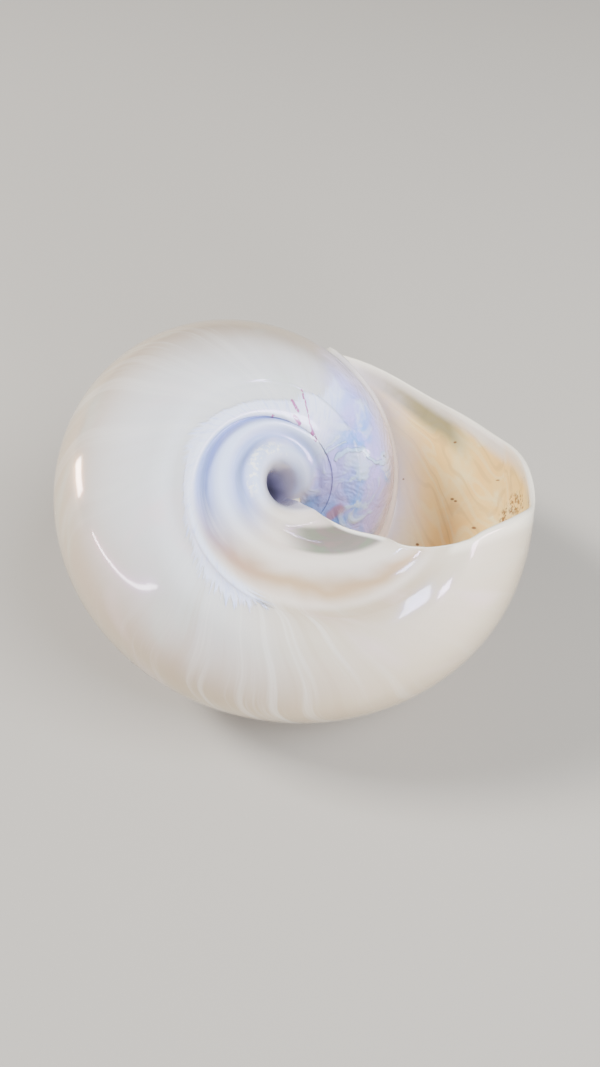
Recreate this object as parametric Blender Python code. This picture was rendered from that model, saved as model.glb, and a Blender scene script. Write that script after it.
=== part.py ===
"""Turban seashell, polished down to its mother of pearl, lying on its side.

Metres, +Z up, the floor at z = 0. The shell is one sheet that grows along a spiral. Its section is a
curve through named points, its growth line fixes where the lip ends, and every mesh line across the
sheet is one growth line, so that the older turns weld onto the newer ones along their seams.
"""

from dataclasses import dataclass

import bmesh
import bpy
import numpy as np
from mathutils import Matrix

Table = tuple[tuple[float, float], ...]

NODE = "shell"
UNIT = 0.0503  # metres per unit of growth: the radius of the last turn at the lip

# Spiral: the size doubles each turn, times 1 + a swell that changes slowly (degrees back from the lip).
SIZE_PER_TURN = 2.0
SWELL = (
    (-480, 0.090), (-400, 0.130), (-350, 0.155), (-270, 0.133), (-210, 0.156), (-150, 0.086),
    (-105, 0.038), (-60, 0.056), (-30, 0.048), (0, -0.006), (60, -0.050),
)

# Outer section, in units: a rounded whorl, then the flat base with its ridges, then the hollow.
WHORL_CENTRE = (0.480, 0.845)
WHORL_RADII = (0.520, 0.567)
WHORL_POWER = 1.75
WHORL_ANGLES = (-66, -50, -30, -8, -2, 12, 28, 44, 62, 80)  # degrees from the widest line, to the base
SPIRE_UNDER = 0.30  # the spire is drawn out below this height, in units
SPIRE_RISE = 0.25  # and stands this much taller at its tip
SHOULDER_OUT = 0.050
SHOULDER_RISE = 0.070
SEAM_POINT = 5  # the section point that the next turn's seam runs along
HOLLOW_POINT = 18  # and the one that its inner seam runs along, in the hollow

# Base features, at angles in degrees: distances from the axis in units, then heights.
CALLUS_OUT = ((-420, 0.480), (-280, 0.490), (-160, 0.485), (0, 0.495))
CALLUS = ((-420, 0.430), (-270, 0.430), (-195, 0.465), (0, 0.455))
OUTER_GROOVE = ((-420, 0.375), (-265, 0.377), (-205, 0.412), (-120, 0.392), (0, 0.400))
MIDDLE_RIDGE = ((-420, 0.325), (-225, 0.348), (-165, 0.320), (-90, 0.272), (-60, 0.292), (0, 0.340))
GROOVE = ((-420, 0.256), (-350, 0.256), (-220, 0.270), (-162, 0.222), (-105, 0.203), (0, 0.250))
INNER_RIDGE = ((-420, 0.187), (-333, 0.187), (-245, 0.218), (-150, 0.172), (-100, 0.138), (0, 0.150))
CALLUS_OUT_HEIGHT = ((-420, 1.404), (0, 1.410))
CALLUS_HEIGHT = ((-420, 1.404), (-310, 1.406), (-265, 1.424), (-140, 1.424), (-95, 1.410), (0, 1.410))
OUTER_GROOVE_HEIGHT = (
    (-420, 1.402), (-315, 1.402), (-265, 1.380), (-150, 1.380), (-95, 1.406), (0, 1.408),
)
MIDDLE_RIDGE_HEIGHT = ((-420, 1.396), (-325, 1.398), (-270, 1.414), (-150, 1.422), (0, 1.426))
GROOVE_HEIGHT = ((-420, 1.386), (-330, 1.384), (-275, 1.368), (-150, 1.366), (-80, 1.372), (0, 1.372))
INNER_RIDGE_HEIGHT = ((-420, 1.400), (-300, 1.402), (-220, 1.408), (0, 1.412))
HOLLOW = ((0.60, 1.320), (0.47, 1.180), (0.40, 0.980))  # distance over the inner ridge's, and height
BASE = (
    (CALLUS_OUT, CALLUS_OUT_HEIGHT),
    (CALLUS, CALLUS_HEIGHT),
    (OUTER_GROOVE, OUTER_GROOVE_HEIGHT),
    (MIDDLE_RIDGE, MIDDLE_RIDGE_HEIGHT),
    (GROOVE, GROOVE_HEIGHT),
    (INNER_RIDGE, INNER_RIDGE_HEIGHT),
)

# Growth line: degrees ahead of the lip's zero, at each section point.
LEAN = (
    65.5, 61.0, 58.5, 38.3, 23.3, 13.0, 11.0, 5.5, -2.0, -5.0, -8.5, -16.0,
    -22.5, -25.0, -31.0, -37.0, -45.0, -66.0, -74.0, -68.0, -46.0, -21.5,
)

# Wall and cavity.
RIM = 0.020
WALL = 0.040
WALL_RAMP = 40.0  # degrees back from the lip over which the wall reaches its thickness
CAVITY_INNER = (
    (0.470, 1.372), (0.440, 1.365), (0.400, 1.345), (0.350, 1.318), (0.290, 1.255),
    (0.235, 1.130), (0.200, 1.010), (0.175, 0.940), (0.155, 0.890),
)

# Mesh.
COLUMN = 7.5  # degrees
ROWS = (1, 1, 2, 2, 2, 1, 1, 2, 2, 2, 2, 1, 1, 1, 2, 2, 2, 1, 2, 2, 1)  # mesh rows from each section point
ROW_ANGLE = -150.0  # the rows are spaced by the section here
SEAM_COLUMNS = 41  # one turn, less the growth line's lead at the seam
CAVITY_COLUMNS = 48
APEX_COLUMNS = 176
HOLLOW_COLUMNS = 90
SLOPE_STEP = 1e-4
WELD = 1e-7  # metres
SMOOTH_UNDER = 35.0  # degrees between faces that are shaded as one surface

# Lie (degrees): tipped, leant to one side, laid back, then settled sideways onto its last turn and its spire.
TIP = 0.63
SIDE = 15.42
LAY_BACK = 36.1
SETTLE = 0.4


@dataclass(frozen=True)
class Sheet:
    """The grid of the outer sheet and of the cavity's wall, in metres.

    Args:
        outer: points by column and row, the last column being the lip.
        inner: points of the cavity's wall, by column and row.
        seam: the row that the outer seam runs along.
        hollow: the row that the inner seam runs along.
    """

    outer: np.ndarray
    inner: np.ndarray
    seam: int
    hollow: int


def spline(knots: np.ndarray, at: np.ndarray) -> np.ndarray:
    """Weights of a natural cubic curve.

    Args:
        knots: where its values are given.
        at: where it is read.

    Returns:
        A matrix that turns the values at the knots into those at the places.
    """
    count = len(knots)
    step = np.diff(knots)
    bend = np.eye(count)
    pull = np.zeros((count, count))
    for i in range(1, count - 1):
        bend[i, i - 1 : i + 2] = step[i - 1] / 6, (step[i - 1] + step[i]) / 3, step[i] / 6
        pull[i, i - 1 : i + 2] = 1 / step[i - 1], -1 / step[i - 1] - 1 / step[i], 1 / step[i]
    second = np.linalg.solve(bend, pull)
    place = np.clip(np.searchsorted(knots, at) - 1, 0, count - 2)
    width = step[place]
    after = (at - knots[place]) / width
    before = 1 - after
    own = np.eye(count)
    return (
        before[:, None] * own[place]
        + after[:, None] * own[place + 1]
        + ((before**3 - before) * width**2 / 6)[:, None] * second[place]
        + ((after**3 - after) * width**2 / 6)[:, None] * second[place + 1]
    )


def ease(share: np.ndarray) -> np.ndarray:
    """Zero to one, level at both ends."""
    share = np.clip(share, 0, 1)
    return share * share * (3 - 2 * share)


def along(table: Table, angle: np.ndarray) -> np.ndarray:
    """A value that changes round the shell, on a smooth curve through its table of angles and values."""
    knots, values = np.array(table, float).T
    flat = np.clip(angle.ravel(), knots[0], knots[-1])
    return (spline(knots, flat) @ values).reshape(angle.shape)


def eased(table: Table, angle: np.ndarray) -> np.ndarray:
    """A height that changes round the shell, level at its table's values and eased between them."""
    knots, values = np.array(table, float).T
    place = np.clip(np.searchsorted(knots, angle) - 1, 0, len(knots) - 2)
    share = ease((angle - knots[place]) / (knots[place + 1] - knots[place]))
    return values[place] * (1 - share) + values[place + 1] * share


def size(angle: np.ndarray) -> np.ndarray:
    """Size of the section at an angle in degrees back from the lip, with one at the lip."""
    return SIZE_PER_TURN ** (angle / 360) * (1 + along(SWELL, angle))


def whorl_point(degrees: float) -> tuple[float, float]:
    """The rounded part of the section at an angle from its widest line."""
    cosine = np.cos(np.radians(degrees))
    sine = np.sin(np.radians(degrees))
    reach = (abs(cosine) ** WHORL_POWER + abs(sine) ** WHORL_POWER) ** (-1 / WHORL_POWER)
    return (
        WHORL_CENTRE[0] + WHORL_RADII[0] * reach * cosine,
        WHORL_CENTRE[1] + WHORL_RADII[1] * reach * sine,
    )


def section_points(angle: np.ndarray) -> np.ndarray:
    """The section's named points at each angle.

    Args:
        angle: degrees back from the lip, in any shape.

    Returns:
        Distances from the axis and heights, over the section's size, with the points on the axis
        before the last.
    """
    whorl = [whorl_point(degrees) for degrees in WHORL_ANGLES]
    older = size(angle - 360) / size(angle)
    seam = whorl[SEAM_POINT - 2]
    points = [np.stack([seam[0] * older, seam[1] * older], -1)]
    points.append(points[0] + np.array([SHOULDER_OUT, -SHOULDER_RISE]))
    points += [np.broadcast_to(np.array(point), (*angle.shape, 2)) for point in whorl]
    for distances, heights in BASE:
        points.append(np.stack([along(distances, angle), eased(heights, angle)], -1))
    ridge = along(INNER_RIDGE, angle)
    for share, height in HOLLOW:
        points.append(np.stack([ridge * share, np.full(angle.shape, height)], -1))
    first = along(INNER_RIDGE, angle - 360) * HOLLOW[0][0] * older
    points.append(np.stack([first, HOLLOW[0][1] * older], -1))
    return np.stack(points, -2)


def knots_and_rows(rows: tuple[int, ...]) -> tuple[np.ndarray, np.ndarray, list[int]]:
    """Places of the section's points and of the mesh rows along the section.

    Args:
        rows: how many mesh rows start from each section point.

    Returns:
        The points' places, the rows' places, and each point's row.
    """
    nominal = section_points(np.array([ROW_ANGLE]))[0]
    knots = np.concatenate([[0], np.cumsum(np.hypot(*np.diff(nominal, axis=0).T))])
    places = []
    starts = []
    for i, count in enumerate(rows):
        starts.append(len(places))
        places += list(np.linspace(knots[i], knots[i + 1], count, endpoint=False))
    starts.append(len(places))
    places.append(knots[-1])
    return knots, np.array(places), starts


def slope(knots: np.ndarray, at: np.ndarray) -> np.ndarray:
    """Weights of a natural cubic curve's slope at the places."""
    return (spline(knots, at + SLOPE_STEP) - spline(knots, at - SLOPE_STEP)) / (2 * SLOPE_STEP)


def section(weights: np.ndarray, points: np.ndarray) -> np.ndarray:
    """The section's curve: the weights of each row times the named points of each column and row."""
    return np.einsum("rk,crkj->crj", weights, points)


def turned(slopes: np.ndarray) -> np.ndarray:
    """Unit directions a quarter turn from the section's own, into the whorl."""
    length = np.linalg.norm(slopes, axis=-1, keepdims=True)
    return np.stack([-slopes[..., 1], slopes[..., 0]], -1) / length


def in_space(flat: np.ndarray, angle: np.ndarray) -> np.ndarray:
    """Points of the sections, turned to their angles and given their sizes, in metres."""
    turn = np.radians(angle)
    distance = flat[..., 0] * size(angle)
    height = flat[..., 1] * size(angle)
    height -= SPIRE_RISE * np.clip(1 - height / SPIRE_UNDER, 0, None) ** 2
    return np.stack([distance * np.cos(turn), distance * np.sin(turn), height], -1) * UNIT


def inner_points(points: np.ndarray, angle: np.ndarray, inward: np.ndarray) -> np.ndarray:
    """The named points of the cavity's section: the wall's inside, then the pillar's far side.

    Args:
        points: the outer section's points.
        angle: degrees back from the lip, at each column and row.
        inward: unit directions into the whorl at each point.
    """
    older = size(angle - 360) / size(angle)
    inner = points + WALL * inward
    for i, point in enumerate(CAVITY_INNER):
        inner[..., len(WHORL_ANGLES) + 2 + i, :] = point
    inner[..., -1, 0] = along(INNER_RIDGE, angle - 360) * older
    inner[..., -1, 1] = eased(INNER_RIDGE_HEIGHT, angle - 360) * older
    return inner


def build_sheet(column: float, rows: tuple[int, ...], columns: int, seam_columns: int) -> Sheet:
    """The whole shell as two grids.

    Args:
        column: degrees from one growth line to the next.
        rows: mesh rows from each section point.
        columns: growth lines, back from the lip.
        seam_columns: columns from a turn's seam back to the point it runs along.

    Returns:
        The two grids, in metres, about the shell's own axis.
    """
    knots, places, starts = knots_and_rows(rows)
    weights = spline(knots, places)
    lag = np.arange(-columns, 1) * column
    angle = lag[:, None] + (weights @ np.array(LEAN))[None, :]
    points = section_points(angle)
    flat = section(weights, points)
    inward = turned(section(slope(knots, places), points))
    point_inward = turned(np.einsum("qk,crkj->crqj", slope(knots, knots), points))
    cavity = section(weights, inner_points(points, angle, point_inward))
    seam = starts[SEAM_POINT]
    hollow = starts[HOLLOW_POINT]
    step = starts[SEAM_POINT + 1] - seam
    first = places[starts[2]]
    last = places[starts[-2]]
    end_share = ease(places / first) * ease((places[-1] - places) / (places[-1] - last))
    lip_share = (1 - ease(-lag / WALL_RAMP))[:, None, None] * end_share[None, :, None]
    cavity = cavity * (1 - lip_share) + (flat + RIM * inward) * lip_share
    outer = in_space(flat, angle)
    inner = in_space(cavity, angle)
    inner[seam_columns:, 0] = outer[:-seam_columns, seam + step]
    inner[seam_columns:, -1] = outer[:-seam_columns, hollow - step]
    outer[seam_columns:, 0] = outer[:-seam_columns, seam]
    outer[seam_columns:, -1] = outer[:-seam_columns, hollow]
    return Sheet(outer, inner, seam, hollow)


def add_grid(bm: bmesh.types.BMesh, points: np.ndarray, kept: np.ndarray) -> None:
    """A grid bent to the given points.

    Args:
        bm: the mesh it is added to.
        points: where each vertex goes, by column and row.
        kept: which faces stay, by column and row.
    """
    columns = points.shape[0] - 1
    rows = points.shape[1] - 1
    made = bmesh.ops.create_grid(bm, x_segments=columns, y_segments=rows, size=1.0)["verts"]
    cell = {}
    for vert in made:
        cell[vert] = round((vert.co.x + 1) / 2 * columns), round((vert.co.y + 1) / 2 * rows)
        vert.co = points[cell[vert]]
    dropped = set()
    for vert in made:
        for face in vert.link_faces:
            column = min(cell[corner][0] for corner in face.verts)
            row = min(cell[corner][1] for corner in face.verts)
            if not kept[column, row]:
                dropped.add(face)
    bmesh.ops.delete(bm, geom=list(dropped), context="FACES")


def kept_faces(sheet: Sheet, rows: int, step: int, spans: tuple[int, int, int, int]) -> np.ndarray:
    """Which faces of the outer sheet stay: the rest lie inside the shell's own wall or past its start.

    Args:
        sheet: the grids.
        rows: mesh rows across the section.
        step: rows that a seam's wall covers.
        spans: columns kept in the spire, in the two seams, in the cavity and in the hollow.
    """
    spire, seams, cavity, hollow = spans
    columns = sheet.outer.shape[0] - 1
    kept = np.zeros((columns, rows), bool)
    kept[columns - spire :, : sheet.seam] = True
    kept[columns - seams :, sheet.seam : sheet.hollow] = True
    kept[columns - cavity - seams :, sheet.seam + step : sheet.hollow - step] = True
    kept[columns - hollow :, sheet.hollow :] = True
    return kept


def rim_points(sheet: Sheet, step: int, seam_columns: int) -> np.ndarray:
    """The lip's edge, from the outer sheet to the cavity's wall, by row and by step across.

    Args:
        sheet: the grids.
        step: rows that a seam's wall covers.
        seam_columns: columns from a turn's seam back to the point it runs along.
    """
    share = np.linspace(0, 1, step + 1)[None, :, None]
    rim = sheet.outer[-1][:, None] * (1 - share) + sheet.inner[-1][:, None] * share
    older = sheet.outer[-1 - seam_columns]
    rim[0] = older[sheet.seam : sheet.seam + step + 1]
    rim[-1] = older[sheet.hollow - step : sheet.hollow + 1][::-1]
    return rim


def open_loops(bm: bmesh.types.BMesh) -> list[list[bmesh.types.BMEdge]]:
    """The mesh's open edges, one list to a loop."""
    left = {edge for edge in bm.edges if len(edge.link_faces) == 1}
    loops = []
    while left:
        loop = [left.pop()]
        for edge in loop:
            for vert in edge.verts:
                for other in vert.link_edges:
                    if other in left:
                        left.remove(other)
                        loop.append(other)
        loops.append(loop)
    return loops


def close_ends(bm: bmesh.types.BMesh) -> None:
    """Fills the cavity's far end, the hollow's floor and the spire's tip."""
    for loop in open_loops(bm):
        ends = bmesh.ops.edgeloop_fill(bm, edges=loop)["faces"]
        bmesh.ops.triangulate(bm, faces=ends, quad_method="BEAUTY", ngon_method="BEAUTY")


def assemble(column: float, rows: tuple[int, ...], spans: tuple[int, int, int, int]) -> bmesh.types.BMesh:
    """One closed mesh of the whole shell, about its own axis.

    Args:
        column: degrees from one growth line to the next.
        rows: mesh rows from each section point.
        spans: columns kept in the spire, in the two seams, in the cavity and in the hollow.
    """
    spire, seams, cavity, _ = spans
    sheet = build_sheet(column, rows, spire, seams)
    step = rows[SEAM_POINT]
    count = sheet.outer.shape[1] - 1
    bm = bmesh.new()
    add_grid(bm, sheet.outer, kept_faces(sheet, count, step, spans))
    add_grid(bm, sheet.inner[-1 - cavity :], np.ones((cavity, count), bool))
    add_grid(bm, rim_points(sheet, step, seams), np.ones((count, step), bool))
    bmesh.ops.remove_doubles(bm, verts=bm.verts, dist=WELD)
    close_ends(bm)
    bmesh.ops.recalc_face_normals(bm, faces=bm.faces)
    return bm


def lay_down(bm: bmesh.types.BMesh) -> None:
    """Lays the shell on the floor, with the origin under the middle of its box."""
    tip = Matrix.Rotation(np.radians(TIP), 4, "X")
    side = Matrix.Rotation(np.radians(SIDE), 4, "Y")
    lay_back = Matrix.Rotation(np.radians(LAY_BACK), 4, "X")
    settle = Matrix.Rotation(np.radians(SETTLE), 4, "Y")
    bmesh.ops.transform(bm, matrix=settle @ lay_back @ side @ tip, verts=bm.verts)
    corners = np.array([vert.co for vert in bm.verts])
    low = corners.min(axis=0)
    high = corners.max(axis=0)
    under = (-(low[0] + high[0]) / 2, -(low[1] + high[1]) / 2, -low[2])
    bmesh.ops.translate(bm, vec=under, verts=bm.verts)


def clear_scene() -> None:
    """Takes the start-up objects away."""
    for obj in list(bpy.data.objects):
        bpy.data.objects.remove(obj)


def pearl() -> bpy.types.Material:
    """Polished mother of pearl: pale, warm and glossy."""
    material = bpy.data.materials.new("shell_pearl")
    material.use_nodes = True
    principled = material.node_tree.nodes["Principled BSDF"]
    principled.inputs["Base Color"].default_value = (0.72, 0.66, 0.58, 1)
    principled.inputs["Metallic"].default_value = 0.0
    principled.inputs["Roughness"].default_value = 0.22
    return material


def main() -> None:
    """Builds the shell and gives it its finish."""
    clear_scene()
    bm = assemble(COLUMN, ROWS, (APEX_COLUMNS, SEAM_COLUMNS, CAVITY_COLUMNS, HOLLOW_COLUMNS))
    lay_down(bm)
    mesh = bpy.data.meshes.new(NODE)
    bm.to_mesh(mesh)
    bm.free()
    mesh.shade_smooth()
    mesh.set_sharp_from_angle(angle=np.radians(SMOOTH_UNDER))
    mesh.materials.append(pearl())
    shell = bpy.data.objects.new(NODE, mesh)
    collection = bpy.data.collections.new("turban_shell")
    bpy.context.scene.collection.children.link(collection)
    collection.objects.link(shell)


main()
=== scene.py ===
"""Polished turban seashell, lying on its side on a pale floor.

The shell is one piece. Its mesh is a sheet that grows on a spiral, fine enough to be smooth, and its
finish is a procedural mother of pearl that reads the sheet's own growth lines.
"""

import logging
from dataclasses import dataclass, field
from enum import Enum

import bmesh
import bpy
import numpy as np
from mathutils import Matrix, Vector


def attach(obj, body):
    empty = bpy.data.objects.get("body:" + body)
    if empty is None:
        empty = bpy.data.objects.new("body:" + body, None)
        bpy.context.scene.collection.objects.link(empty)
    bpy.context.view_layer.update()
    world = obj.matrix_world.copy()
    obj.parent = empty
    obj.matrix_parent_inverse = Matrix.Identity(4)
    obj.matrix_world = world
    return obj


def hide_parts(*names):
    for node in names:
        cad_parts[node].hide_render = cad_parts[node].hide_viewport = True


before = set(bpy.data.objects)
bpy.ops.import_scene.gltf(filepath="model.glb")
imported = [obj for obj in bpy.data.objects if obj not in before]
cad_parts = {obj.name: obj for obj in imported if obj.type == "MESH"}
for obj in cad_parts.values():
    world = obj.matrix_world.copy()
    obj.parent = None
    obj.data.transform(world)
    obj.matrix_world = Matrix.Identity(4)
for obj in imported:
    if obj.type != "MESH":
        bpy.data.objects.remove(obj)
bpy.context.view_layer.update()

log = logging.getLogger("turban_shell")

Span = tuple[float, float]
Band = tuple[float, float, float]
Stroke = tuple[float, float, float, float, float]
Table = tuple[Span, ...]
Socket = bpy.types.NodeSocket
Level = Socket | float
Colour = tuple[float, float, float]

NODE = "shell"


class Map(Enum):
    """The shell's own coordinates, each kept as a UV map."""

    GROWTH = "growth"  # turns back from the lip along the sheet, and section point
    BASE = "base"  # sideways places about the shell's axis, in units
    ZONE = "zone"  # zero outside and one inside, and turns about the axis


def srgb(red: int, green: int, blue: int) -> Colour:
    """A colour of 0 to 255 levels, as the shader's linear values.

    Args:
        red: its red level.
        green: its green level.
        blue: its blue level.

    Returns:
        Its linear red, green and blue.
    """
    levels = []
    for level in (red, green, blue):
        share = level / 255
        levels.append(share / 12.92 if share <= 0.04045 else ((share + 0.055) / 1.055) ** 2.4)
    return levels[0], levels[1], levels[2]


def ease(share: np.ndarray) -> np.ndarray:
    """Zero to one, level at both ends."""
    share = np.clip(share, 0, 1)
    return share * share * (3 - 2 * share)


def spline(knots: np.ndarray, at: np.ndarray) -> np.ndarray:
    """Weights of a natural cubic curve.

    Args:
        knots: where its values are given.
        at: where it is read.

    Returns:
        A matrix that turns the values at the knots into those at the places.
    """
    count = len(knots)
    step = np.diff(knots)
    bend = np.eye(count)
    pull = np.zeros((count, count))
    for i in range(1, count - 1):
        bend[i, i - 1 : i + 2] = step[i - 1] / 6, (step[i - 1] + step[i]) / 3, step[i] / 6
        pull[i, i - 1 : i + 2] = 1 / step[i - 1], -1 / step[i - 1] - 1 / step[i], 1 / step[i]
    second = np.linalg.solve(bend, pull)
    place = np.clip(np.searchsorted(knots, at) - 1, 0, count - 2)
    width = step[place]
    after = (at - knots[place]) / width
    before = 1 - after
    own = np.eye(count)
    return (
        before[:, None] * own[place]
        + after[:, None] * own[place + 1]
        + ((before**3 - before) * width**2 / 6)[:, None] * second[place]
        + ((after**3 - after) * width**2 / 6)[:, None] * second[place + 1]
    )


def slope(knots: np.ndarray, at: np.ndarray, step: float = 1e-4) -> np.ndarray:
    """Weights of a natural cubic curve's slope at the places.

    Args:
        knots: where its values are given.
        at: where it is read.
        step: how far to each side the slope is taken.

    Returns:
        A matrix that turns the values at the knots into slopes at the places.
    """
    return (spline(knots, at + step) - spline(knots, at - step)) / (2 * step)


def along(table: Table, angle: np.ndarray) -> np.ndarray:
    """A value that changes round the shell, on a smooth curve through its table of angles and values.

    Args:
        table: its angles and values.
        angle: where it is read, in degrees.

    Returns:
        The values there.
    """
    knots, values = np.array(table, float).T
    flat = np.clip(angle.ravel(), knots[0], knots[-1])
    return (spline(knots, flat) @ values).reshape(angle.shape)


def eased(table: Table, angle: np.ndarray) -> np.ndarray:
    """A height that changes round the shell, level at its table's values and eased between them.

    Args:
        table: its angles and heights.
        angle: where it is read, in degrees.

    Returns:
        The heights there.
    """
    knots, values = np.array(table, float).T
    place = np.clip(np.searchsorted(knots, angle) - 1, 0, len(knots) - 2)
    share = ease((angle - knots[place]) / (knots[place + 1] - knots[place]))
    return values[place] * (1 - share) + values[place + 1] * share


@dataclass(frozen=True)
class Growth:
    """How the shell grows round its axis.

    Args:
        unit: metres per unit, the radius of the last turn at the lip.
        per_turn: how many times larger each turn is.
        swell: what the size is times one more than, by degrees back from the lip.
        spire_under: the spire is drawn out below this height, in units.
        spire_rise: and stands this much taller at its tip.
    """

    unit: float = 0.0503
    per_turn: float = 2.0
    swell: Table = (
        (-480, 0.090), (-400, 0.130), (-350, 0.155), (-270, 0.133), (-210, 0.156), (-150, 0.086),
        (-105, 0.038), (-60, 0.056), (-30, 0.048), (0, -0.006), (60, -0.050),
    )
    spire_under: float = 0.30
    spire_rise: float = 0.25

    def size(self, angle: np.ndarray) -> np.ndarray:
        """Size of the section at an angle in degrees back from the lip."""
        return self.per_turn ** (angle / 360) * (1 + along(self.swell, angle))

    def in_space(self, flat: np.ndarray, angle: np.ndarray) -> np.ndarray:
        """Points of the sections, turned to their angles and given their sizes, in metres.

        Args:
            flat: distances from the axis and heights, over the size.
            angle: degrees back from the lip.

        Returns:
            Their places about the axis.
        """
        turn = np.radians(angle)
        distance = flat[..., 0] * self.size(angle)
        height = flat[..., 1] * self.size(angle)
        height -= self.spire_rise * np.clip(1 - height / self.spire_under, 0, None) ** 2
        return np.stack([distance * np.cos(turn), distance * np.sin(turn), height], -1) * self.unit


@dataclass(frozen=True)
class Base:
    """The ridges and grooves of the base: distances from the axis in units, then heights, by degrees."""

    callus_out: Table = ((-420, 0.480), (-280, 0.490), (-160, 0.485), (0, 0.495))
    callus: Table = ((-420, 0.430), (-270, 0.430), (-195, 0.465), (0, 0.455))
    outer_groove: Table = (
        (-420, 0.392), (-340, 0.390), (-265, 0.377), (-205, 0.412), (-120, 0.392), (0, 0.400),
    )
    middle_ridge: Table = (
        (-420, 0.322), (-330, 0.328), (-225, 0.348), (-165, 0.320), (-90, 0.272), (-60, 0.292),
        (0, 0.340),
    )
    groove: Table = ((-420, 0.256), (-350, 0.256), (-220, 0.270), (-162, 0.222), (-105, 0.203), (0, 0.250))
    inner_ridge: Table = (
        (-420, 0.187), (-333, 0.187), (-245, 0.218), (-150, 0.172), (-100, 0.138), (0, 0.150),
    )
    callus_out_height: Table = ((-420, 1.404), (0, 1.410))
    callus_height: Table = (
        (-420, 1.404), (-310, 1.406), (-265, 1.424), (-140, 1.424), (-95, 1.410), (0, 1.410),
    )
    outer_groove_height: Table = (
        (-420, 1.402), (-315, 1.402), (-265, 1.380), (-150, 1.380), (-95, 1.406), (0, 1.408),
    )
    middle_ridge_height: Table = ((-420, 1.396), (-325, 1.398), (-270, 1.414), (-150, 1.422), (0, 1.426))
    groove_height: Table = (
        (-420, 1.386), (-330, 1.384), (-275, 1.368), (-150, 1.366), (-80, 1.372), (0, 1.372),
    )
    inner_ridge_height: Table = ((-420, 1.400), (-300, 1.402), (-220, 1.408), (0, 1.412))

    def pairs(self) -> tuple[tuple[Table, Table], ...]:
        """The features from the outermost in, each with its heights.

        Returns:
            A table of distances and a table of heights for each feature.
        """
        return (
            (self.callus_out, self.callus_out_height),
            (self.callus, self.callus_height),
            (self.outer_groove, self.outer_groove_height),
            (self.middle_ridge, self.middle_ridge_height),
            (self.groove, self.groove_height),
            (self.inner_ridge, self.inner_ridge_height),
        )


@dataclass(frozen=True)
class Section:
    """The section of one turn: a rounded whorl, then the flat base with its ridges, then the hollow.

    Args:
        centre: the rounded part's middle: distance from the axis, and height.
        radii: its half width and half height.
        power: how square it is, two being an ellipse.
        angles: its named points, in degrees from its widest line to the base.
        shoulder_out: how far the shoulder stands out of the seam.
        shoulder_rise: and up from it.
        base: the ridges and grooves.
        hollow: distances over the inner ridge's, and heights.
        wall: the wall's thickness.
        rim: the wall's thickness at the lip.
        wall_ramp: degrees back from the lip over which the wall reaches its thickness.
        cavity_inner: the cavity's side next to the pillar.
        seam_point: the point that the next turn's seam runs along.
        hollow_point: the one that its inner seam runs along.
    """

    centre: Span = (0.480, 0.845)
    radii: Span = (0.520, 0.567)
    power: float = 1.75
    angles: tuple[int, ...] = (-66, -50, -30, -8, -2, 12, 28, 44, 62, 80)
    shoulder_out: float = 0.050
    shoulder_rise: float = 0.070
    base: Base = Base()
    hollow: Table = ((0.60, 1.320), (0.47, 1.180), (0.40, 0.980))
    wall: float = 0.040
    rim: float = 0.020
    wall_ramp: float = 40.0
    cavity_inner: Table = (
        (0.470, 1.372), (0.440, 1.365), (0.400, 1.345), (0.350, 1.318), (0.290, 1.255),
        (0.235, 1.130), (0.200, 1.010), (0.175, 0.940), (0.155, 0.890),
    )
    seam_point: int = 5
    hollow_point: int = 18

    def whorl_point(self, degrees: float) -> tuple[float, float]:
        """The rounded part at an angle from its widest line.

        Args:
            degrees: the angle.

        Returns:
            A distance from the axis and a height.
        """
        cosine = np.cos(np.radians(degrees))
        sine = np.sin(np.radians(degrees))
        reach = (abs(cosine) ** self.power + abs(sine) ** self.power) ** (-1 / self.power)
        return (
            self.centre[0] + self.radii[0] * reach * cosine,
            self.centre[1] + self.radii[1] * reach * sine,
        )

    def points(self, growth: Growth, angle: np.ndarray) -> np.ndarray:
        """The section's named points at each angle.

        Args:
            growth: how the shell grows.
            angle: degrees back from the lip, in any shape.

        Returns:
            Distances from the axis and heights, over the section's size, before the last axis.
        """
        whorl = [self.whorl_point(degrees) for degrees in self.angles]
        older = growth.size(angle - 360) / growth.size(angle)
        seam = whorl[self.seam_point - 2]
        points = [np.stack([seam[0] * older, seam[1] * older], -1)]
        points.append(points[0] + np.array([self.shoulder_out, -self.shoulder_rise]))
        points += [np.broadcast_to(np.array(point), (*angle.shape, 2)) for point in whorl]
        for distances, heights in self.base.pairs():
            points.append(np.stack([along(distances, angle), eased(heights, angle)], -1))
        ridge = along(self.base.inner_ridge, angle)
        for share, height in self.hollow:
            points.append(np.stack([ridge * share, np.full(angle.shape, height)], -1))
        first = along(self.base.inner_ridge, angle - 360) * self.hollow[0][0] * older
        points.append(np.stack([first, self.hollow[0][1] * older], -1))
        return np.stack(points, -2)

    def inner_points(
        self, growth: Growth, points: np.ndarray, angle: np.ndarray, inward: np.ndarray
    ) -> np.ndarray:
        """The named points of the cavity's section: the wall's inside, then the pillar's far side.

        Args:
            growth: how the shell grows.
            points: the outer section's points.
            angle: degrees back from the lip, at each column and row.
            inward: unit directions into the whorl at each point.

        Returns:
            Distances from the axis and heights, over the section's size.
        """
        older = growth.size(angle - 360) / growth.size(angle)
        inner = points + self.wall * inward
        for i, point in enumerate(self.cavity_inner):
            inner[..., len(self.angles) + 2 + i, :] = point
        inner[..., -1, 0] = along(self.base.inner_ridge, angle - 360) * older
        inner[..., -1, 1] = eased(self.base.inner_ridge_height, angle - 360) * older
        return inner


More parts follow.
